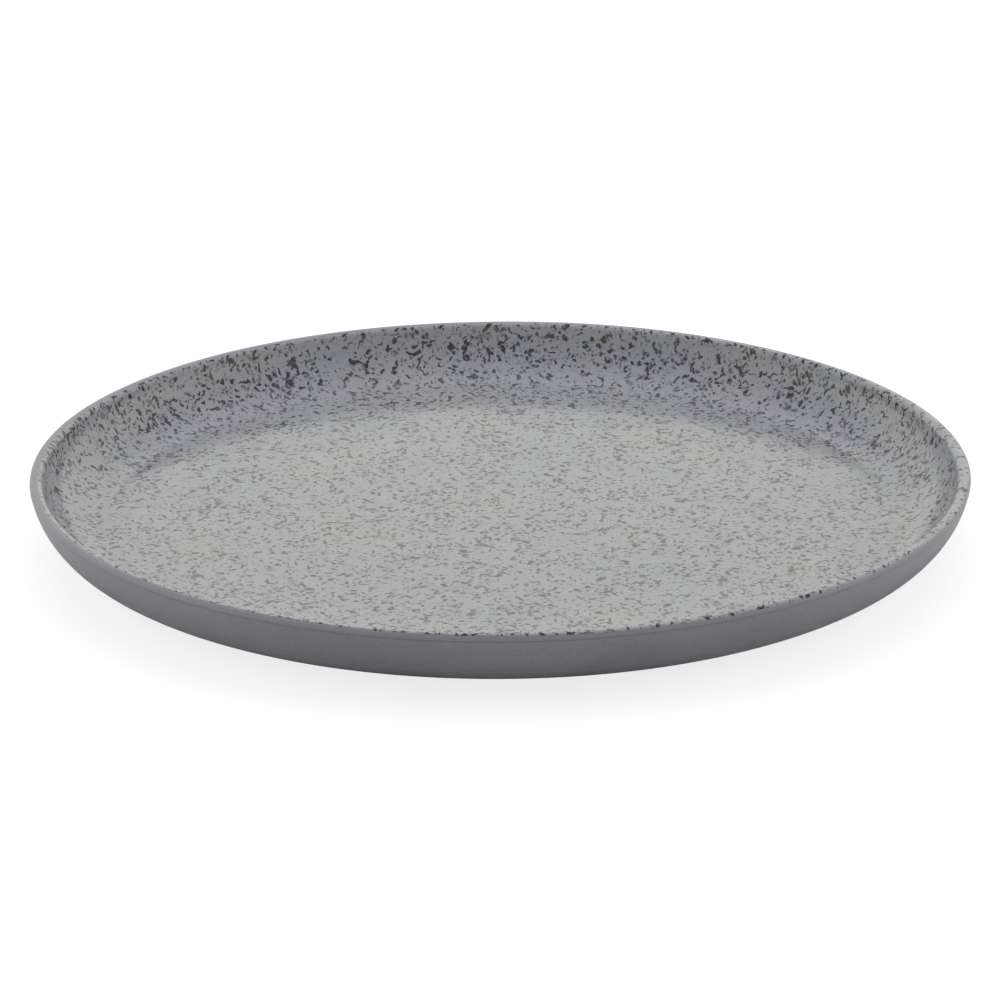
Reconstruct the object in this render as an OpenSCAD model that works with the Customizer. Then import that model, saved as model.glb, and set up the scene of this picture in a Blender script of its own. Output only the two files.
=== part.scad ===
// Coupe dinner plate: a pressed and fired clay body with a low foot ring,
// a slate glaze coat outside and over the lip, a separate patch of the same
// glaze inside the foot ring, and a speckled print over the whole upper face.
//
// The origin is the centre of the foot ring's resting face; +Z is up.
// All sizes are in millimetres and are measured over the glaze.

/* [Plate] */
// Diameter of the plate at its widest circle, the lip
plate_d = 270; // [240:1:320]
// Height of the lip above the table
plate_h = 21.5; // [20:0.1:26]
// Depth of the well below the lip
well_depth = 15.5; // [13.5:0.1:16.5]

/* [Wall] */
// Thickness of the wall
wall_t = 3.6; // [3.2:0.1:4.6]
// Outside radius of the bend from the wall into the underside
bend_r = 21.3; // [19:0.1:24]

/* [Lip] */
// Radius of the lip's outer edge
lip_outer_r = 1.3; // [0.9:0.05:1.6]
// Radius of the lip's inner edge
lip_inner_r = 1.8; // [1.65:0.05:2]
// How far the lip overhangs the wall below it, where the two meet in a fine crease
lip_overhang = 0.05; // [0.02:0.01:0.2]

/* [Foot ring] */
// Diameter of the foot ring, to the middle of its resting face
foot_d = 172; // [130:1:190]
// Width of the flat ground face that the plate rests on
foot_w = 3.2; // [2:0.1:6]
// Radius of the foot ring's edges
foot_edge_r = 1; // [0.7:0.05:1.3]
// Height of the underside above the table, just outside the foot ring
shoulder_h = 1.7; // [1.4:0.1:2.8]
// Height of the base above the table, inside the foot ring
base_h = 2.3; // [1.6:0.1:3.5]

/* [Glaze] */
// Thickness of the glaze
glaze_t = 0.3; // [0.15:0.05:0.5]
// Height above the table up to which the foot ring is wiped bare
bare_h = 0.8; // [0.4:0.05:1.2]

/* [Print] */
// Thickness of the print
print_t = 0.1; // [0.05:0.01:0.2]
// How far the print's edge stays inside the lip's widest circle, on average
print_margin = 1.6; // [1.5:0.1:2.4]
// How far the print sits to the right of the plate's centre
print_shift_x = 0.8; // [-1.2:0.1:1.2]
// How far the print sits behind the plate's centre
print_shift_y = -1.1; // [-1.2:0.1:1.2]

/* [Hidden] */
$fn = 180;

plate_r = plate_d / 2;
foot_r = foot_d / 2;
print_r = plate_r - print_margin;
floor_z = plate_h - well_depth;
floor_middle_z = (floor_z + base_h) / 2;

// Rounds that would only touch their neighbours bite into them by this little.
bite = 0.005;

// The wall is a band between two arcs round one centre. The inner arc runs
// into the flat floor, and the outer one meets the lip just below its edge.
well_bend_r = bend_r - wall_t;
bend_z = floor_z + well_bend_r;
lip_outer_z = plate_h - lip_outer_r;
bend_x = plate_r - lip_overhang - sqrt(bend_r ^ 2 - (bend_z - lip_outer_z) ^ 2);

// Centres of the lip's two edge rounds; the inner one is tangent to the wall.
lip_outer_x = plate_r - lip_outer_r;
lip_inner_z = plate_h - lip_inner_r;
lip_to_bend = [
    sqrt((well_bend_r + lip_inner_r) ^ 2 - (bend_z - lip_inner_z) ^ 2),
    bend_z - lip_inner_z
];
lip_inner_x = bend_x + lip_to_bend[0] - bite;

// Height at which the wall's inner arc runs into the lip's inner edge
function wall_top_z(inset) =
    bend_z - lip_to_bend[1] * (well_bend_r + inset) / (well_bend_r + lip_inner_r);

// The underside runs straight from the foot ring's shoulder into the bend.
foot_half_w = foot_w / 2 + foot_edge_r;

function shoulder_point(inset) = [foot_r + foot_half_w - inset, shoulder_h + inset];
function bend_point(inset) =
    let (
        bite_r = bend_r - inset - bite,
        across = [bend_x, bend_z] - shoulder_point(inset),
        slope = atan2(across[1], across[0]) - asin(bite_r / norm(across))
    )
    [bend_x + bite_r * sin(slope), bend_z - bite_r * cos(slope)];

// Half of the plate's cross-section, with its surface set back by inset.
// The foot ring keeps its height, because it stands on the bare clay.
module section(inset) {
    wall_top = wall_top_z(inset);
    bend_start = bend_point(inset);
    difference() {
        union() {
            // floor, from the axis out to where the bend starts
            polygon([
                [0, base_h + inset],
                [foot_r, base_h + inset],
                [foot_r, shoulder_h + inset],
                shoulder_point(inset),
                bend_start,
                [bend_start[0], wall_top],
                [0, wall_top]
            ]);
            // wall, whose two faces end below the lip's two edges
            intersection() {
                translate([bend_x, bend_z]) circle(r = bend_r - inset);
                union() {
                    translate([min(bend_x, bend_start[0]) - wall_t, 0])
                        square([plate_r, min(wall_top, lip_outer_z)]);
                    translate([lip_inner_x, 0]) square([plate_r, lip_outer_z]);
                }
            }
            foot_section(inset);
        }
        // the hollow of the well
        translate([0, floor_z - inset]) square([bend_x, plate_h]);
        translate([bend_x, bend_z]) circle(r = well_bend_r + inset);
    }
    lip_section(inset);
}

// The lip: a narrow flat top between two rounded edges, the inner one gentler
module lip_section(inset) {
    intersection() {
        translate([lip_inner_x, lip_inner_z]) circle(r = lip_inner_r - inset);
        square([lip_inner_x, 2 * plate_h]);
    }
    translate([lip_inner_x, lip_inner_z])
        square([lip_outer_x - lip_inner_x, lip_inner_r - inset]);
    translate([lip_outer_x, lip_outer_z]) circle(r = lip_outer_r - inset);
}

// The foot ring: a flat resting face between two rounded edges
module foot_section(inset) {
    edge_r = foot_edge_r - inset;
    half_w = foot_half_w - inset;
    for (side = [-1, 1])
        translate([foot_r + side * foot_w / 2, edge_r]) circle(r = edge_r);
    translate([foot_r - foot_w / 2, 0]) square([foot_w, edge_r]);
    translate([foot_r - half_w, edge_r]) square([2 * half_w, plate_h]);
}

// The glaze's thickness, all round the section
module glaze_section() {
    difference() {
        section(0);
        section(glaze_t);
    }
}

// Everything above the middle of the floor, the wall and the lip
module upper_side() {
    translate([bend_x, bend_z]) circle(r = well_bend_r + wall_t / 2);
    translate([0, floor_middle_z]) square([bend_x, plate_h]);
    translate([0, lip_outer_z]) square([plate_r, plate_h]);
}

// The clay of the whole plate, bare on the foot ring's resting face
module clay_body() {
    color("#cdc6ba")
        rotate_extrude() section(glaze_t);
}

// Slate glaze on the outside, over the lip and through the well
module slate_glaze() {
    color("#6b6b71")
        rotate_extrude()
            difference() {
                glaze_section();
                square([foot_r, floor_middle_z]);
                square([plate_r, bare_h]);
            }
}

// Slate glaze on the base, inside the foot ring
module base_glaze() {
    color("#67676d")
        rotate_extrude()
            intersection() {
                glaze_section();
                translate([0, bare_h]) square([foot_r, floor_middle_z - bare_h]);
            }
}

// The speckled print on the upper face, set slightly off the plate's centre
module speckle_print() {
    color("#a4a5a6")
        intersection() {
            rotate_extrude()
                intersection() {
                    difference() {
                        section(-print_t);
                        section(0);
                    }
                    upper_side();
                }
            translate([print_shift_x, print_shift_y, 0]) cylinder(r = print_r, h = 2 * plate_h);
        }
}

clay_body();
slate_glaze();
base_glaze();
speckle_print();
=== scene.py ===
# Coupe dinner plate: turned stoneware with a slate glaze and a speckled print.
# The sections follow its making. The clay is turned and fired, the glazes are poured over it, the
# print is laid on its upper face, and the finished plate stands in a plain white studio.
import math

import bpy
from mathutils import Matrix, Vector


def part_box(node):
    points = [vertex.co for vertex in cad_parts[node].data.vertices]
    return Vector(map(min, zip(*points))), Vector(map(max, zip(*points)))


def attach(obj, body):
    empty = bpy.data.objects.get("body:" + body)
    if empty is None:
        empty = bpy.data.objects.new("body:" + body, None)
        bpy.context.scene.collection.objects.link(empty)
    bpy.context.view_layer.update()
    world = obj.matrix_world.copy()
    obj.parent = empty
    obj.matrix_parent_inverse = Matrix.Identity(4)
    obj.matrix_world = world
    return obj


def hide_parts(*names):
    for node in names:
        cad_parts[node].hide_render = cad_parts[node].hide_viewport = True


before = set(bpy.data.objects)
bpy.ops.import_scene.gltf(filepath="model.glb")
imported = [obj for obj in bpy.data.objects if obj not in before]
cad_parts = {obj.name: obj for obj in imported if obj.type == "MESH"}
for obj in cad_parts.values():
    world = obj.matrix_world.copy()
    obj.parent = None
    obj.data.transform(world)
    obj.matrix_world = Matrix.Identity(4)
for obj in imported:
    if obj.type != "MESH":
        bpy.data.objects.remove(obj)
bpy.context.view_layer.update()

# ---------------------------------------------------------------------------------------------
# Clay body
# The plate itself: one piece of buff stoneware, turned on a mould and fired hard. Its foot ring
# is wiped clean of glaze and ground flat, and that is the only place where the clay shows.
# ---------------------------------------------------------------------------------------------
MM = 0.001

clay_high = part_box("clay_body")[1] / MM
glaze_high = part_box("slate_glaze")[1] / MM
base_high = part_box("base_glaze")[1] / MM
print_low, print_high = (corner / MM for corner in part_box("speckle_print"))

# Sizes in millimetres, measured over the glaze
plate_r = glaze_high.x
plate_h = glaze_high.z
floor_z = print_low.z
glaze_t = glaze_high.x - clay_high.x
base_h = base_high.z - glaze_t
foot_inner_x = base_high.x - glaze_t
bend_r = 21.3
wall_t = 3.6
lip_outer_r = 1.3
lip_inner_r = 1.8
lip_overhang = 0.05
crease_r = 0.12
foot_w = 3.2
foot_edge_r = 1.0
shoulder_h = 1.7
shoulder_r = 0.6
base_corner_r = 0.9

# Points of the half-section: distance from the axis, and height
well_r = bend_r - wall_t
bend_z = floor_z + well_r
lip_outer = Vector((plate_r - lip_outer_r, plate_h - lip_outer_r))
bend_x = plate_r - lip_overhang - math.sqrt(bend_r**2 - (bend_z - lip_outer.y) ** 2)
bend = Vector((bend_x, bend_z))
lip_inner_z = plate_h - lip_inner_r
lip_inner_run = math.sqrt((well_r + lip_inner_r) ** 2 - (bend_z - lip_inner_z) ** 2)
lip_inner = Vector((bend_x + lip_inner_run, lip_inner_z))
shoulder = Vector((foot_inner_x + 2 * foot_edge_r + foot_w, shoulder_h))
to_bend = bend - shoulder
slope = math.atan2(to_bend.y, to_bend.x) - math.asin(bend_r / to_bend.length)
under_shoulder_z = shoulder_h + shoulder_r * (math.tan(slope) - 1 / math.cos(slope))
shoulder_round = Vector((shoulder.x + shoulder_r, under_shoulder_z))
base_round = Vector((foot_inner_x - base_corner_r, base_h - base_corner_r))


def meeting(a, a_reach, b, b_reach):
    """The outer of the two points that lie at these distances from a and from b."""
    run = b - a
    along = (a_reach**2 - b_reach**2 + run.length_squared) / (2 * run.length)
    across = math.sqrt(a_reach**2 - along**2)
    way = run.normalized()
    return a + way * along + Vector((-way.y, way.x)) * across


def bearing(start, end):
    """Direction from one point of the half-section to another, in degrees."""
    return math.degrees(math.atan2(end.y - start.y, end.x - start.x))


def arc(centre, radius, start, end, step):
    """Points along an arc of the half-section, about one step of degrees apart."""
    count = max(2, round(abs(end - start) / step))
    angles = [math.radians(start + (end - start) * i / count) for i in range(count + 1)]
    return [centre + radius * Vector((math.cos(a), math.sin(a))) for a in angles]


def straight(start, end, *shares):
    """Points along a straight run, at these shares of its length."""
    return [start.lerp(end, share) for share in shares]


crease = meeting(lip_outer, lip_outer_r + crease_r, bend, bend_r + crease_r)


def base_line(depth, start):
    """From the foot ring's inner edge over the base to the axis, at a depth below the glaze."""
    centre = Vector((foot_inner_x + foot_edge_r, foot_edge_r - depth))
    foot = arc(centre, foot_edge_r - depth, start, -180, 9)
    corner = arc(base_round, base_corner_r + depth, 0, 90, 9)
    axis = Vector((0, base_h + depth))
    return foot + corner + straight(corner[-1], axis, 0.01, 0.04, 0.1, 0.25, 0.45, 0.7, 0.9, 0.98, 1)


def outside_line(depth, start):
    """From the foot ring's outer edge along the underside and up the wall to the lip's top."""
    centre = Vector((shoulder.x - foot_edge_r, foot_edge_r - depth))
    foot = arc(centre, foot_edge_r - depth, start, 0, 9)
    corner = arc(shoulder_round, shoulder_r + depth, 180, 90 + math.degrees(slope), 9)
    wall = arc(bend, bend_r - depth, math.degrees(slope) - 90, bearing(bend, crease), 2.5)
    under = straight(corner[-1], wall[0], 0.02, 0.07, 0.18, 0.35, 0.55, 0.75, 0.9, 0.97)
    groove = arc(crease, crease_r + depth, bearing(crease, bend), bearing(crease, lip_outer), 20)
    lip = arc(lip_outer, lip_outer_r - depth, bearing(lip_outer, crease), 90, 7)
    return foot + corner + under + wall + groove + lip


def inside_line(depth):
    """From the outer end of the lip's flat top, through the well, to the axis."""
    outer_end = lip_outer + Vector((0, lip_outer_r - depth))
    inner_end = lip_inner + Vector((0, lip_inner_r - depth))
    top = straight(outer_end, inner_end, 0, 0.15, 0.3, 0.45, 0.6, 0.8)
    edge = arc(lip_inner, lip_inner_r - depth, 90, bearing(lip_inner, bend), 6)
    well = arc(bend, well_r + depth, bearing(bend, lip_inner), -90, 3)
    axis = Vector((0, floor_z - depth))
    shares = (0.005, 0.02, 0.05, 0.1, 0.18, 0.28, 0.4, 0.53, 0.67, 0.8, 0.9, 0.97, 1)
    return top + edge + well + straight(well[-1], axis, *shares)


def feed(tree, socket, value):
    """Links a socket to another one, or sets its own value."""
    if isinstance(value, bpy.types.NodeSocket):
        tree.links.new(value, socket)
    else:
        socket.default_value = value


def add(tree, kind, inputs=None, **settings):
    """Adds a node, with its settings made and its named inputs fed."""
    node = tree.nodes.new(kind)
    for name, value in settings.items():
        setattr(node, name, value)
    for name, value in (inputs or {}).items():
        feed(tree, next(s for s in node.inputs if s.enabled and s.name == name), value)
    return node


def calc(tree, operation, *values):
    """Adds a Math node with its inputs fed in order, and returns its result."""
    node = add(tree, "ShaderNodeMath", operation=operation)
    for socket, value in zip(node.inputs, values):
        feed(tree, socket, value)
    return node.outputs[0]


def ramp(tree, value, low, high, bottom=0.0, top=1.0):
    """Goes smoothly from bottom to top while a value goes from low to high."""
    inputs = {"Value": value, "From Min": low, "From Max": high, "To Min": bottom, "To Max": top}
    return add(tree, "ShaderNodeMapRange", inputs, interpolation_type="SMOOTHSTEP").outputs[0]


def noise(tree, place, scale, detail=2.0, dimensions="3D", **inputs):
    """Noise with some waves per unit of length: its value, about 0.5, and its colour."""
    inputs = {"Vector": place, "Scale": scale, "Detail": detail, **inputs}
    return add(tree, "ShaderNodeTexNoise", inputs, noise_dimensions=dimensions).outputs


def turning_tree():
    """Turns a half-section line into a coat of some thickness, or a solid where that is 0."""
    tree = bpy.data.node_groups.new("turned_on_the_wheel", "GeometryNodeTree")
    tree.is_modifier = True
    sockets = {
        "Line": "Geometry",
        "Turns": "Int",
        "Back Step": "Int",
        "Thickness": "Float",
        "Edge Round": "Float",
        "Edge Margin": "Float",
        "Edge Wave": "Float",
        "Wave Length": "Float",
        "Edge Blend": "Float",
        "Shift": "Vector",
        "Settle": "Float",
        "Seed": "Float",
        "Material": "Material",
    }
    for name, kind in sockets.items():
        tree.interface.new_socket(name, in_out="INPUT", socket_type="NodeSocket" + kind)
    tree.interface.new_socket("Piece", in_out="OUTPUT", socket_type="NodeSocketGeometry")
    given = add(tree, "NodeGroupInput").outputs
    line = add(tree, "GeometryNodeMeshToCurve", {"Mesh": given["Line"]}).outputs[0]
    whole = add(tree, "GeometryNodeCurveLength", {"Curve": line}).outputs[0]

    # Rows run from the axis to the edge on the face, then behind it back to the axis
    size = add(tree, "GeometryNodeAttributeDomainSize", {"Geometry": line}, component="CURVE")
    last = calc(tree, "SUBTRACT", size.outputs["Point Count"], 1)
    back_rows = calc(tree, "CEIL", calc(tree, "DIVIDE", last, given["Back Step"]))
    rows = calc(tree, "ADD", calc(tree, "ADD", last, 1), back_rows)
    columns = calc(tree, "ADD", given["Turns"], 1)
    grid = add(tree, "GeometryNodeMeshGrid", {"Vertices X": columns, "Vertices Y": rows}).outputs[0]
    index = add(tree, "GeometryNodeInputIndex").outputs[0]
    row = calc(tree, "MODULO", index, rows)
    turn = calc(tree, "DIVIDE", calc(tree, "FLOOR", calc(tree, "DIVIDE", index, rows)), given["Turns"])
    angle = calc(tree, "MULTIPLY", turn, math.tau)
    cosine = calc(tree, "COSINE", angle)
    sine = calc(tree, "SINE", angle)
    behind = calc(tree, "GREATER_THAN", row, last)
    past = calc(tree, "SUBTRACT", row, last)
    skipping = calc(tree, "MINIMUM", calc(tree, "MULTIPLY", past, given["Back Step"]), last)
    choice = {"Switch": behind, "False": calc(tree, "ABSOLUTE", past), "True": skipping}
    point = add(tree, "GeometryNodeSwitch", choice, input_type="FLOAT").outputs[0]
    run = add(tree, "GeometryNodeSplineParameter").outputs["Length"]
    asked = {"Geometry": line, "Value": run, "Index": point}
    distance = add(tree, "GeometryNodeSampleIndex", asked).outputs[0]

    # The edge wanders, and its circle sits off centre by the shift
    around = add(tree, "ShaderNodeCombineXYZ", {"X": cosine, "Y": sine}).outputs[0]
    waves = calc(tree, "DIVIDE", plate_r * MM, given["Wave Length"])
    wander = noise(tree, around, waves, detail=3.0, dimensions="4D", W=given["Seed"])[0]
    wave = calc(tree, "MULTIPLY", calc(tree, "MULTIPLY_ADD", wander, 2, -1), given["Edge Wave"])
    dot = add(tree, "ShaderNodeVectorMath", operation="DOT_PRODUCT")
    feed(tree, dot.inputs[0], around)
    feed(tree, dot.inputs[1], given["Shift"])
    off_middle = calc(tree, "SUBTRACT", wave, dot.outputs["Value"])
    margin = calc(tree, "ADD", given["Edge Margin"], off_middle)
    near_edge = ramp(tree, distance, 0.0, given["Edge Blend"], 1.0, 0.0)
    reach = calc(tree, "MULTIPLY_ADD", margin, near_edge, distance)
    sample = add(tree, "GeometryNodeSampleCurve", {"Curves": line, "Length": reach}, mode="LENGTH")
    place = add(tree, "ShaderNodeSeparateXYZ", {"Vector": sample.outputs["Position"]}).outputs
    way = add(tree, "ShaderNodeSeparateXYZ", {"Vector": sample.outputs["Tangent"]}).outputs

    # The coat rounds off to nothing at its edge, and its back lies on the line
    inwards = calc(tree, "MINIMUM", calc(tree, "DIVIDE", distance, given["Edge Round"]), 1)
    lack = calc(tree, "POWER", calc(tree, "SUBTRACT", 1, inwards), 2)
    fullness = calc(tree, "SQRT", calc(tree, "SUBTRACT", 1, lack))
    on_face = calc(tree, "SUBTRACT", 1, behind)
    height = calc(tree, "MULTIPLY", calc(tree, "MULTIPLY", fullness, on_face), given["Thickness"])
    out = calc(tree, "MULTIPLY_ADD", way["Z"], height, place["X"])
    up = calc(tree, "SUBTRACT", place["Z"], calc(tree, "MULTIPLY", way["X"], height))

    # The wall settled a little in the kiln, in a slow wave that every layer shares
    inputs = {"Vector": around, "Scale": out}
    level = add(tree, "ShaderNodeVectorMath", inputs, operation="SCALE").outputs[0]
    lean = noise(tree, level, 9.0, detail=1.0, dimensions="2D")[0]
    free = ramp(tree, out, shoulder.x * MM, plate_r * MM)
    drop = calc(tree, "MULTIPLY", calc(tree, "MULTIPLY", lean, free), given["Settle"])
    rise = add(tree, "ShaderNodeCombineXYZ", {"Z": calc(tree, "SUBTRACT", up, drop)}).outputs[0]
    position = add(tree, "ShaderNodeVectorMath", operation="ADD")
    feed(tree, position.inputs[0], level)
    feed(tree, position.inputs[1], rise)
    moved = {"Geometry": grid, "Position": position.outputs[0]}
    shell = add(tree, "GeometryNodeSetPosition", moved).outputs[0]

    # The map unrolls the face into a disc, with the hidden back as a small disc in a corner
    def on(domain, value):
        return add(tree, "GeometryNodeFieldOnDomain", {"Value": value}, domain=domain).outputs[0]

    hidden = calc(tree, "GREATER_THAN", on("FACE", on("POINT", row)), last)
    from_axis = on("POINT", calc(tree, "SUBTRACT", 1, calc(tree, "DIVIDE", reach, whole)))
    spread = calc(tree, "MULTIPLY_ADD", hidden, back_map_r - face_map_r, face_map_r)
    centre = calc(tree, "MULTIPLY_ADD", hidden, back_map_centre - 0.5, 0.5)
    across = calc(tree, "MULTIPLY", spread, from_axis)
    u = calc(tree, "MULTIPLY_ADD", across, on("POINT", cosine), centre)
    v = calc(tree, "MULTIPLY_ADD", across, on("POINT", sine), centre)
    uv = add(tree, "ShaderNodeCombineXYZ", {"X": u, "Y": v}).outputs[0]
    store = add(tree, "GeometryNodeStoreNamedAttribute", data_type="FLOAT2", domain="CORNER")
    feed(tree, store.inputs["Geometry"], shell)
    feed(tree, store.inputs["Name"], "OFBake")
    feed(tree, next(s for s in store.inputs if s.enabled and s.name == "Value"), uv)

    weld = {"Geometry": store.outputs[0], "Distance": 1e-7}
    welded = add(tree, "GeometryNodeMergeByDistance", weld).outputs[0]
    outwards = calc(tree, "GREATER_THAN", given["Thickness"], -1e-9)
    turned = add(tree, "GeometryNodeFlipFaces", {"Mesh": welded, "Selection": outwards}).outputs[0]
    smooth = add(tree, "GeometryNodeSetShadeSmooth", {"Geometry": turned}).outputs[0]
    real = add(tree, "GeometryNodeRealizeInstances", {"Geometry": smooth}).outputs[0]
    coloured = {"Geometry": real, "Material": given["Material"]}
    done = add(tree, "GeometryNodeSetMaterial", coloured).outputs[0]
    tree.links.new(done, add(tree, "NodeGroupOutput").inputs[0])
    return tree


# The map of each piece, in shares of its square
face_map_r = 0.49
back_map_r = 0.06
back_map_centre = 0.93
turning = turning_tree()
settle = 0.2 * MM


def turned(name, line, material, replaced, slot, **sizes):
    """Turns a line of points in millimetres into a piece that replaces a part of the frame."""
    kept = [line[0]] + [b for a, b in zip(line, line[1:]) if (b - a).length > 1e-4]
    mesh = bpy.data.meshes.new(name + "_line")
    links = [(i, i + 1) for i in range(len(kept) - 1)]
    mesh.from_pydata([(p.x * MM, 0, p.y * MM) for p in kept], links, [])
    piece = bpy.data.objects.new(name, mesh)
    bpy.context.scene.collection.objects.link(piece)
    modifier = piece.modifiers.new("turning", "NODES")
    modifier.node_group = turning
    values = {"Material": material, "Settle": settle}
    values.update({key.replace("_", " ").title(): value for key, value in sizes.items()})
    for socket in turning.interface.items_tree:
        if socket.in_out == "INPUT" and socket.name in values:
            modifier[socket.identifier] = values[socket.name]
    graph = bpy.context.evaluated_depsgraph_get()
    piece.data = bpy.data.meshes.new_from_object(piece.evaluated_get(graph))
    piece.data.name = name
    piece.modifiers.clear()
    bpy.data.meshes.remove(mesh)
    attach(piece, "root")
    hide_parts(replaced)
    return piece


def finish(name, **sockets):
    """Starts a material: its node tree, its shader with constant sockets set, and its place."""
    material = bpy.data.materials.new(name)
    material.use_nodes = True
    shader = material.node_tree.nodes["Principled BSDF"]
    for socket, value in sockets.items():
        shader.inputs[socket.replace("_", " ")].default_value = value
    place = add(material.node_tree, "ShaderNodeTexCoord").outputs["Object"]
    return material, material.node_tree, shader.inputs, place


def mixed(tree, share, a, b):
    """A colour between two others."""
    inputs = {"Factor": share, "A": a, "B": b}
    node = add(tree, "ShaderNodeMix", inputs, data_type="RGBA")
    return next(s for s in node.outputs if s.enabled)


def relief(tree, shader, height, depth):
    """Gives the shader a relief of some depth in metres."""
    inputs = {"Height": height, "Distance": depth, "Strength": 1.0}
    feed(tree, shader["Normal"], add(tree, "ShaderNodeBump", inputs).outputs[0])


def bare_clay():
    """Fired stoneware: buff, dry and grainy, with dark grog and the rings of its grinding."""
    material, tree, shader, place = finish("bare_stoneware", IOR=1.45)
    grain = noise(tree, place, 1600.0, detail=4.0)[0]
    cloud = noise(tree, place, 70.0, detail=2.0)[0]
    grog = add(tree, "ShaderNodeTexVoronoi", {"Vector": place, "Scale": 520.0}).outputs["Distance"]
    grog_share = ramp(tree, grog, 0.1, 0.26, 1.0, 0.0)
    buff = mixed(tree, cloud, (0.44, 0.375, 0.3, 1), (0.6, 0.54, 0.46, 1))
    toned = mixed(tree, ramp(tree, grain, 0.3, 0.7, 0.0, 0.35), buff, (0.33, 0.27, 0.21, 1))
    feed(tree, shader["Base Color"], mixed(tree, grog_share, toned, (0.16, 0.12, 0.095, 1)))
    feed(tree, shader["Roughness"], ramp(tree, grain, 0.2, 0.8, 0.72, 0.92))
    level = add(tree, "ShaderNodeSeparateXYZ", {"Vector": place}).outputs
    flat = add(tree, "ShaderNodeCombineXYZ", {"X": level["X"], "Y": level["Y"]}).outputs[0]
    radius = add(tree, "ShaderNodeVectorMath", {"Vector": flat}, operation="LENGTH").outputs["Value"]
    rings = add(tree, "ShaderNodeTexNoise", {"W": radius, "Scale": 2600.0}, noise_dimensions="1D")
    height = calc(tree, "ADD", grain, calc(tree, "MULTIPLY", rings.outputs[0], 0.5))
    relief(tree, shader, height, 0.03 * MM)
    return material


foot_line = base_line(glaze_t, -90)[::-1]
body_line = foot_line + outside_line(glaze_t, -90) + inside_line(glaze_t)
turned("clay_plate", body_line, bare_clay(), "clay_body", "bare_clay", turns=360)

# ---------------------------------------------------------------------------------------------
# Slate glaze
# A satin slate-grey glaze, poured over the plate and melted on in the second firing. It runs
# from the foot ring over the lip through the well, and ends in a wiped, slightly wavy bead.
# ---------------------------------------------------------------------------------------------
wiped_angle = -60
wiped_margin = 0.5
wiped_wave = 0.35


def glaze_skin_group():
    """What every glazed face shares: slow clouds, and a skin of faint dimples."""
    group = bpy.data.node_groups.new("glaze_skin", "ShaderNodeTree")
    group.interface.new_socket("Place", in_out="INPUT", socket_type="NodeSocketVector")
    group.interface.new_socket("Roughness", in_out="INPUT", socket_type="NodeSocketFloat")
    group.interface.new_socket("Cloud", in_out="OUTPUT", socket_type="NodeSocketFloat")
    group.interface.new_socket("Roughness", in_out="OUTPUT", socket_type="NodeSocketFloat")
    group.interface.new_socket("Height", in_out="OUTPUT", socket_type="NodeSocketFloat")
    given = add(group, "NodeGroupInput").outputs
    cloud = noise(group, given["Place"], 26.0, detail=3.0)[0]
    dimples = noise(group, given["Place"], 330.0, detail=2.0)[0]
    slow = noise(group, given["Place"], 60.0, detail=1.0)[0]
    grain = noise(group, given["Place"], 1900.0, detail=2.0)[0]
    pores = add(group, "ShaderNodeTexVoronoi", {"Vector": given["Place"], "Scale": 110.0})
    pit = ramp(group, pores.outputs["Distance"], 0.0, 0.05, 1.0, 0.0)
    duller = calc(group, "MULTIPLY", pit, 0.2)
    spread = calc(group, "ADD", ramp(group, cloud, 0.3, 0.7, -0.04, 0.04), duller)
    skin = calc(group, "ADD", dimples, calc(group, "MULTIPLY", slow, 3.0))
    skin = calc(group, "MULTIPLY_ADD", grain, 0.12, skin)
    out = add(group, "NodeGroupOutput").inputs
    group.links.new(cloud, out["Cloud"])
    group.links.new(calc(group, "ADD", given["Roughness"], spread), out["Roughness"])
    group.links.new(calc(group, "MULTIPLY_ADD", pit, -0.6, skin), out["Height"])
    return group


glaze_skin = glaze_skin_group()


def skin_of(tree, place, roughness):
    """Places the glaze skin in a material."""
    node = add(tree, "ShaderNodeGroup", node_tree=glaze_skin)
    feed(tree, node.inputs["Place"], place)
    feed(tree, node.inputs["Roughness"], roughness)
    return node.outputs


def slate_satin():
    """Slate-grey glaze: darker in the crease under the lip, partly where it pools and partly painted
    shade, and thin and purplish where it runs off edges.
    """
    material, tree, shader, place = finish("slate_satin_glaze", IOR=1.55)
    skin = skin_of(tree, place, 0.36)
    height = add(tree, "ShaderNodeSeparateXYZ", {"Vector": place}).outputs["Z"]
    fine = noise(tree, place, 900.0, detail=3.0)[0]
    clouded = ramp(tree, skin["Cloud"], 0.3, 0.7)
    slate = mixed(tree, clouded, (0.199, 0.203, 0.221, 1), (0.231, 0.235, 0.255, 1))
    grainy = mixed(tree, ramp(tree, fine, 0.35, 0.75, 0.0, 0.25), slate, (0.115, 0.115, 0.127, 1))
    uneven = calc(tree, "MULTIPLY_ADD", skin["Cloud"], 0.5 * MM, height)
    thin = ramp(tree, uneven, (plate_h - 1.6) * MM, (plate_h - 0.3) * MM)
    lip_tone = mixed(tree, calc(tree, "MULTIPLY", thin, 0.8), grainy, (0.24, 0.222, 0.258, 1))
    # Darker along the crease under the lip: partly glaze pooled there, partly painted shade of the
    # crease
    from_crease = calc(tree, "ABSOLUTE", calc(tree, "SUBTRACT", height, crease.y * MM))
    pooled = ramp(tree, from_crease, 0.0, 0.35 * MM, 0.5, 0.0)
    toned = mixed(tree, pooled, lip_tone, (0.1, 0.098, 0.11, 1))
    burnt = ramp(tree, height, 0.75 * MM, 1.15 * MM, 0.8, 0.0)
    feed(tree, shader["Base Color"], mixed(tree, burnt, toned, (0.17, 0.115, 0.08, 1)))
    feed(tree, shader["Roughness"], skin["Roughness"])
    relief(tree, shader, skin["Height"], 0.006 * MM)
    return material


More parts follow.
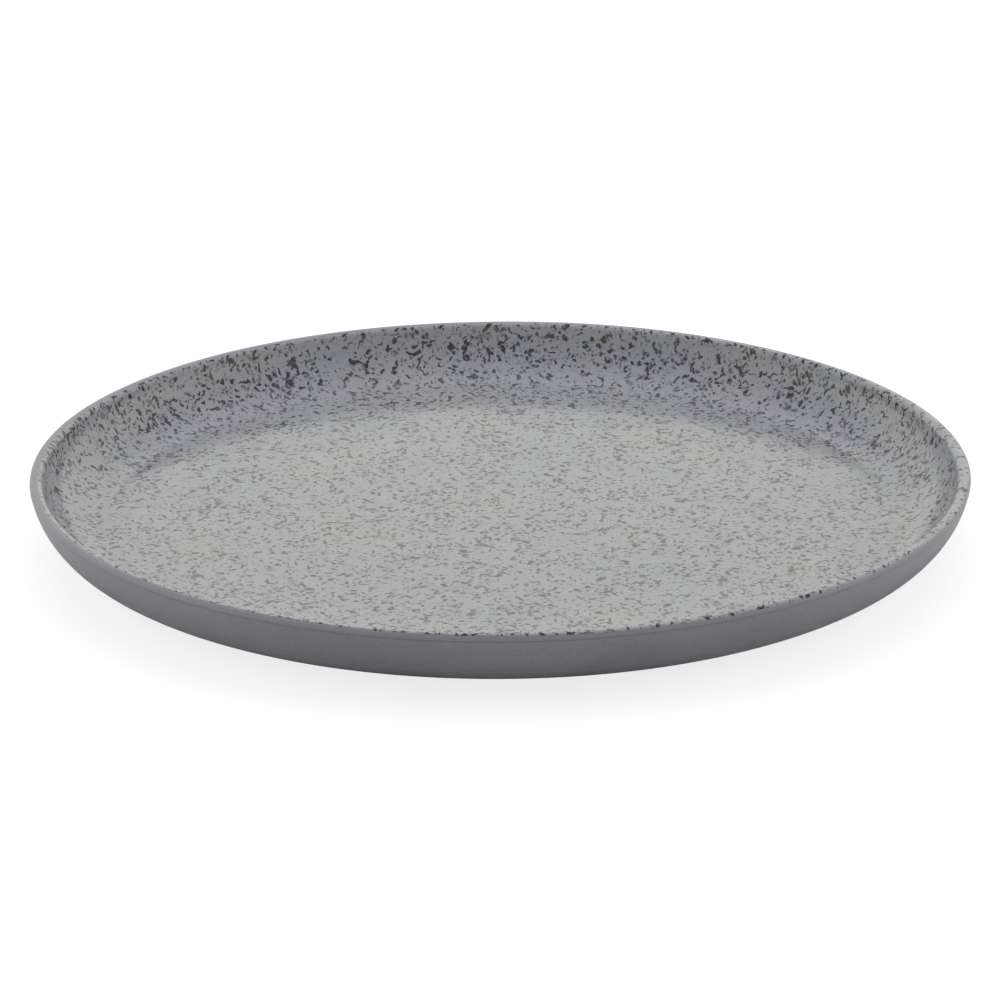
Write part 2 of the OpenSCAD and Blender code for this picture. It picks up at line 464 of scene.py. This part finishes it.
slate_material = slate_satin()
wiped = {"edge_round": 0.35 * MM, "edge_margin": wiped_margin * MM, "edge_wave": wiped_wave * MM}
wiped.update({"wave_length": 9 * MM, "edge_blend": 1.6 * MM, "back_step": 3})
slate_line = outside_line(glaze_t, wiped_angle) + inside_line(glaze_t)
turned(
    "poured_slate_glaze", slate_line, slate_material, "slate_glaze", "slate_glaze",
    turns=480, thickness=glaze_t * MM, seed=1.0, **wiped,
)

# ---------------------------------------------------------------------------------------------
# Base glaze
# The same glaze inside the foot ring, brushed on from the centre to the ring. The wiped ring
# parts it from the rest, so it is a coat of its own with its own bead.
# ---------------------------------------------------------------------------------------------
turned(
    "brushed_base_glaze", base_line(glaze_t, -180 - wiped_angle), slate_material, "base_glaze",
    "slate_glaze", turns=360, thickness=-glaze_t * MM, seed=2.0, **wiped,
)

# ---------------------------------------------------------------------------------------------
# Speckle print
# A transfer printed with pale grey ground and brown-black flecks, laid on the upper face by hand
# and fired in. It ends in a slightly torn edge on top of the lip, and sits a little off centre.
# ---------------------------------------------------------------------------------------------
print_t = print_high.z - plate_h
print_r = (print_high.x - print_low.x) / 2
print_shift = Vector((print_high.x + print_low.x, print_high.y + print_low.y, 0)) / 2
print_start = 25
print_line = arc(lip_outer, lip_outer_r, print_start, 90, 2.5) + inside_line(0)
# The edge flows a little outwards in the fire
print_creep = 0.12
print_margin = lip_outer_r * math.radians(90 - print_start) + lip_outer.x - print_r - print_creep
print_run = sum((b - a).length for a, b in zip(print_line, print_line[1:]))


def flecks(tree, place):
    """Flecks on the unrolled print, in millimetres: how much of one lies at each place, 0 to 1."""

    def moved(place, x, y):
        return add(tree, "ShaderNodeMapping", {"Vector": place, "Location": (x, y, 0)}).outputs[0]

    def warped(place, waves, reach, detail):
        colour = noise(tree, place, waves, detail=detail, dimensions="2D")["Color"]
        node = add(tree, "ShaderNodeVectorMath", operation="MULTIPLY_ADD")
        feed(tree, node.inputs[0], colour)
        feed(tree, node.inputs[1], (reach, reach, 0))
        feed(tree, node.inputs[2], place)
        return node.outputs[0]

    def cells(place, size):
        """Random cells: the distance to each one's middle, and three random numbers."""
        inputs = {"Vector": place, "Scale": 1 / size, "Randomness": 1.0}
        cell = add(tree, "ShaderNodeTexVoronoi", inputs, voronoi_dimensions="2D").outputs
        away = calc(tree, "MULTIPLY", cell["Distance"], size)
        return away, add(tree, "ShaderNodeSeparateColor", {"Color": cell["Color"]}).outputs

    def strokes(waves, width, gate_waves, low, high, shift):
        """Short curved strokes: bands along the level line of a noise, cut into lengths."""
        level = noise(tree, moved(ragged, shift, -shift), waves, detail=0.5, dimensions="2D")[0]
        off_line = calc(tree, "ABSOLUTE", calc(tree, "SUBTRACT", level, 0.5))
        gate = noise(tree, moved(place, -shift, 2 * shift), gate_waves, dimensions="2D")[0]
        half = ramp(tree, gate, low, high, -0.01, width)
        return ramp(tree, calc(tree, "SUBTRACT", half, off_line), -0.026, 0.028)

    crowd = noise(tree, place, 0.07, detail=2.0, dimensions="2D")[0]
    ragged = warped(place, 1.3, 0.9, 2.0)
    bent = warped(ragged, 0.3, 3.2, 1.0)

    # Blobs, one to a cell, of all sizes up to a millimetre and a half, some of them faint
    away, chance = cells(bent, 2.0)
    likely = calc(tree, "ADD", chance["Green"], ramp(tree, crowd, 0.35, 0.65, -0.4, 0.35))
    radius = calc(tree, "MULTIPLY_ADD", calc(tree, "POWER", chance["Red"], 1.5), 0.52, 0.32)
    radius = calc(tree, "SUBTRACT", radius, ramp(tree, likely, 0.25, 0.45, 0.9, 0.0))
    blob = ramp(tree, calc(tree, "SUBTRACT", radius, away), -0.34, 0.32)
    blob = calc(tree, "MULTIPLY", blob, ramp(tree, chance["Blue"], 0.0, 0.7, 0.45, 1.0))
    line = strokes(0.2, 0.05, 0.3, 0.545, 0.645, 0.0)
    hook = strokes(0.28, 0.058, 0.42, 0.555, 0.655, 57.0)

    # Faint dust between them
    dust_away, dust_chance = cells(ragged, 1.2)
    dust_r = ramp(tree, dust_chance["Red"], 0.35, 1.0, -0.2, 0.36)
    dust = ramp(tree, calc(tree, "SUBTRACT", dust_r, dust_away), -0.34, 0.25, 0.0, 0.42)
    return calc(tree, "MAXIMUM", calc(tree, "MAXIMUM", blob, line), calc(tree, "MAXIMUM", hook, dust))


# How much higher the glaze seems to stand at the foot of the wall, and how deep its dimples are
pool_rise = 1.05
pool_inside_bend = 34
pool_outside_bend = 8
skin_depth = 0.005

# How much of the flecks' ink shows through the glaze of the floor, where it lies thickest
floor_ink = 0.71


def speckled_print():
    """Pale blue-grey ground under the glaze, with soft-edged flecks that fade a little below."""
    material, tree, shader, place = finish("speckled_print", IOR=1.55)
    skin = skin_of(tree, place, 0.16)
    height = add(tree, "ShaderNodeSeparateXYZ", {"Vector": place}).outputs["Z"]
    up_wall = ramp(tree, height, floor_z * MM, (floor_z + 5) * MM)
    uv = add(tree, "ShaderNodeUVMap", uv_map="OFBake").outputs[0]
    scale = print_run / face_map_r
    unroll = add(tree, "ShaderNodeMapping", {"Vector": uv, "Location": (-scale / 2, -scale / 2, 0)})
    unroll.inputs["Scale"].default_value = (scale, scale, 1)
    flat = unroll.outputs[0]
    ink = calc(tree, "MULTIPLY", flecks(tree, flat), ramp(tree, up_wall, 0.0, 1.0, floor_ink, 1.0))
    warm = noise(tree, flat, 0.03, detail=3.0, dimensions="2D")[0]
    mottle = noise(tree, flat, 0.9, detail=3.0, dimensions="2D")[0]
    warmer = ramp(tree, warm, 0.35, 0.65)
    ground = mixed(tree, warmer, (0.314, 0.325, 0.346, 1), (0.33, 0.329, 0.341, 1))
    ground = mixed(tree, ramp(tree, mottle, 0.3, 0.75, 0.0, 0.3), ground, (0.25, 0.25, 0.268, 1))
    halo = mixed(tree, ramp(tree, ink, 0.0, 0.55), ground, (0.135, 0.135, 0.155, 1))
    rust = noise(tree, flat, 0.12, detail=2.0, dimensions="2D")[0]
    rusty = ramp(tree, rust, 0.42, 0.66)
    core = mixed(tree, rusty, (0.018, 0.016, 0.016, 1), (0.036, 0.019, 0.007, 1))
    feed(tree, shader["Base Color"], mixed(tree, ramp(tree, ink, 0.4, 1.0), halo, core))
    feed(tree, shader["Roughness"], skin["Roughness"])

    # The glaze stands a little higher towards the wall, which tilts what the floor mirrors there
    length = add(tree, "ShaderNodeVectorMath", {"Vector": flat}, operation="LENGTH")
    from_middle = length.outputs["Value"]
    pooled = ramp(tree, from_middle, bend_x - pool_inside_bend, bend_x + pool_outside_bend)
    risen = calc(tree, "MULTIPLY_ADD", pooled, pool_rise / skin_depth, skin["Height"])
    relief(tree, shader, risen, skin_depth * MM)
    return material


turned(
    "fired_speckle_print", print_line, speckled_print(), "speckle_print", "speckle_print",
    turns=880, back_step=3, thickness=print_t * MM, edge_round=0.6 * MM,
    edge_margin=print_margin * MM, edge_wave=0.35 * MM, wave_length=4 * MM,
    edge_blend=7 * MM, shift=print_shift * MM, seed=3.0,
)

# ---------------------------------------------------------------------------------------------
# Studio
# A plain white sweep under a large soft lamp, with a smaller one at each side. The plate stands
# on it and keeps its soft shadow, and the camera looks from the front, a little from above.
# ---------------------------------------------------------------------------------------------
scene = bpy.context.scene
white = (1, 1, 1, 1)


def white_world():
    """Plain light from all round, which the glaze mirrors warmer low down and dimmer high up."""
    world = bpy.data.worlds.new("white_surroundings")
    world.use_nodes = True
    tree = world.node_tree
    ray = add(tree, "ShaderNodeLightPath").outputs
    seen = calc(tree, "MAXIMUM", ray["Is Camera Ray"], ray["Is Glossy Ray"])
    seen = calc(tree, "MAXIMUM", seen, ray["Is Transmission Ray"])

    # What the glaze mirrors goes over to a cooler ceiling from about 22 to 34 degrees up
    way = add(tree, "ShaderNodeTexCoord").outputs["Generated"]
    towards = add(tree, "ShaderNodeSeparateXYZ", {"Vector": way}).outputs
    high = ramp(tree, calc(tree, "MULTIPLY_ADD", towards["Y"], -0.1, towards["Z"]), 0.37, 0.56)
    mirrored = mixed(tree, high, (0.99, 1.0, 0.89, 1), (0.6, 0.63, 0.78, 1))
    background = tree.nodes["Background"].inputs
    feed(tree, background["Color"], mixed(tree, ray["Is Glossy Ray"], white, mirrored))
    feed(tree, background["Strength"], ramp(tree, seen, 0.0, 1.0, 0.4, 1.0))
    return world


def white_sweep():
    """Matt white paper, which the eye sees as white with only a trace of the plate's shadow."""
    material, tree, shader, place = finish("white_paper", Roughness=0.9)
    seen = add(tree, "ShaderNodeLightPath").outputs["Is Camera Ray"]
    fibre = noise(tree, place, 400.0, detail=2.0)[0]
    paper = mixed(tree, fibre, (0.79, 0.79, 0.79, 1), (0.81, 0.81, 0.81, 1))
    feed(tree, shader["Base Color"], mixed(tree, seen, paper, (0.26, 0.26, 0.26, 1)))
    feed(tree, shader["Emission Color"], white)
    feed(tree, shader["Emission Strength"], calc(tree, "MULTIPLY", seen, 0.8))

    # Its back is clear, so that a view from below shows the plate's underside
    below = add(tree, "ShaderNodeNewGeometry").outputs["Backfacing"]
    mix = add(tree, "ShaderNodeMixShader", {"Fac": below})
    feed(tree, mix.inputs[1], tree.nodes["Principled BSDF"].outputs[0])
    feed(tree, mix.inputs[2], add(tree, "ShaderNodeBsdfTransparent").outputs[0])
    feed(tree, tree.nodes["Material Output"].inputs["Surface"], mix.outputs[0])
    return material


scene.world = white_world()
sweep_mesh = bpy.data.meshes.new("sweep")
half_sweep = 3.0
corners = [(x * half_sweep, y * half_sweep, 0) for x, y in ((-1, -1), (1, -1), (1, 1), (-1, 1))]
sweep_mesh.from_pydata(corners, [], [(0, 1, 2, 3)])
sweep_mesh.materials.append(white_sweep())
sweep = bpy.data.objects.new("sweep", sweep_mesh)
scene.collection.objects.link(sweep)

# The large lamp hangs above and behind, and those at the sides light up the steep walls
for name, size, energy, location in (
    ("top_lamp", 1.8, 14.0, (0, 0.8, 1.26)),
    ("left_lamp", 1.0, 5.6, (-1.2, -0.1, 0.6)),
    ("right_lamp", 1.0, 5.6, (1.2, -0.1, 0.6)),
):
    lamp_data = bpy.data.lights.new(name, "AREA")
    lamp_data.shape = "DISK"
    lamp_data.size = size
    lamp_data.energy = energy
    lamp = bpy.data.objects.new(name, lamp_data)
    lamp.location = location
    lamp.rotation_euler = (-lamp.location).to_track_quat("-Z", "Y").to_euler()
    lamp.visible_glossy = False
    scene.collection.objects.link(lamp)

# The camera's place, worked out from the lip's ellipse in the photograph
image_side = 1000
focal_px = 5632.7
distance = 12 * plate_r * MM
elevation = math.radians(19.51)
roll = math.radians(-0.309)
lip_px = Vector((500.34, 465.42))

lip_centre = Vector((0, 0, plate_h * MM))
camera_data = bpy.data.cameras.new("camera")
camera_data.sensor_width = 36
camera_data.lens = focal_px / image_side * camera_data.sensor_width
camera_data.clip_end = 20
camera = bpy.data.objects.new("camera", camera_data)
back = Vector((0, -math.cos(elevation), math.sin(elevation)))
off_centre = (lip_px - Vector((image_side, image_side)) / 2) / focal_px
turn_to_lip = Matrix.Rotation(off_centre.x, 3, "Y") @ Matrix.Rotation(off_centre.y, 3, "X")
facing = back.to_track_quat("Z", "Y").to_matrix() @ turn_to_lip @ Matrix.Rotation(roll, 3, "Z")
camera.matrix_world = Matrix.Translation(lip_centre + back * distance) @ facing.to_4x4()
scene.collection.objects.link(camera)
scene.camera = camera
scene.view_settings.view_transform = "Standard"
